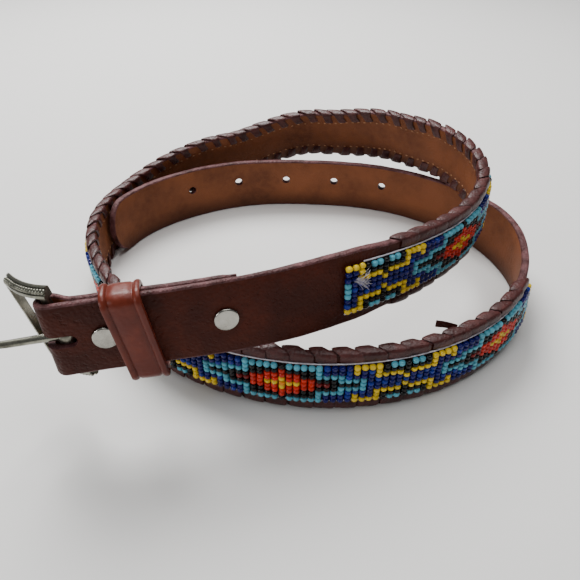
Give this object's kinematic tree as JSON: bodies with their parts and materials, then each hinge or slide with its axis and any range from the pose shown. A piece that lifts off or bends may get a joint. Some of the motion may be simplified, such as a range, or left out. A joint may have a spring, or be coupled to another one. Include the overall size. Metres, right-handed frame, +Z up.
{
  "type": "beaded belt",
  "caption": "Leather belt with a loomed band of seed beads between laced edges, a keeper loop and a hinged metal buckle, coiled and standing on its lower edge",
  "frame": {"origin": "middle of the bounding box, on the surface that the belt stands on", "axes": "+Z up, across the strap's width; the buckle end is at the front left, with -Y towards the viewer and +X to the right"},
  "size_m": [0.1848, 0.1686, 0.0573],
  "materials": {
    "strap_leather": "dark reddish brown, fine pebbled grain",
    "beads": "opaque glossy seed beads in a stepped diamond pattern",
    "lace_leather": "narrow dark leather lace, worn",
    "keeper_leather": "polished red brown",
    "nickel": "antique nickel, worn"
  },
  "bodies": {
    "belt": {"strap": "strap_leather", "bead_band": "beads", "lacing_top": "lace_leather", "lacing_bottom": "lace_leather", "lace_end": "lace_leather", "keeper": "keeper_leather", "cap_1": "nickel", "cap_2": "nickel"},
    "frame": {"buckle_frame": "nickel"},
    "prong": {"buckle_prong": "nickel"}
  },
  "joints": [
    {"name": "frame_hinge", "type": "hinge", "parent": "belt", "child": "frame", "pos_m": [-0.0685, -0.07779, 0.04011], "axis": [-0.1752, 0.0273, 0.9842], "range_deg": [-40, 50]},
    {"name": "prong_hinge", "type": "hinge", "parent": "frame", "child": "prong", "pos_m": [-0.0685, -0.07779, 0.04011], "axis": [-0.1752, 0.0273, 0.9842], "range_deg": [-20, 45]}
  ]
}
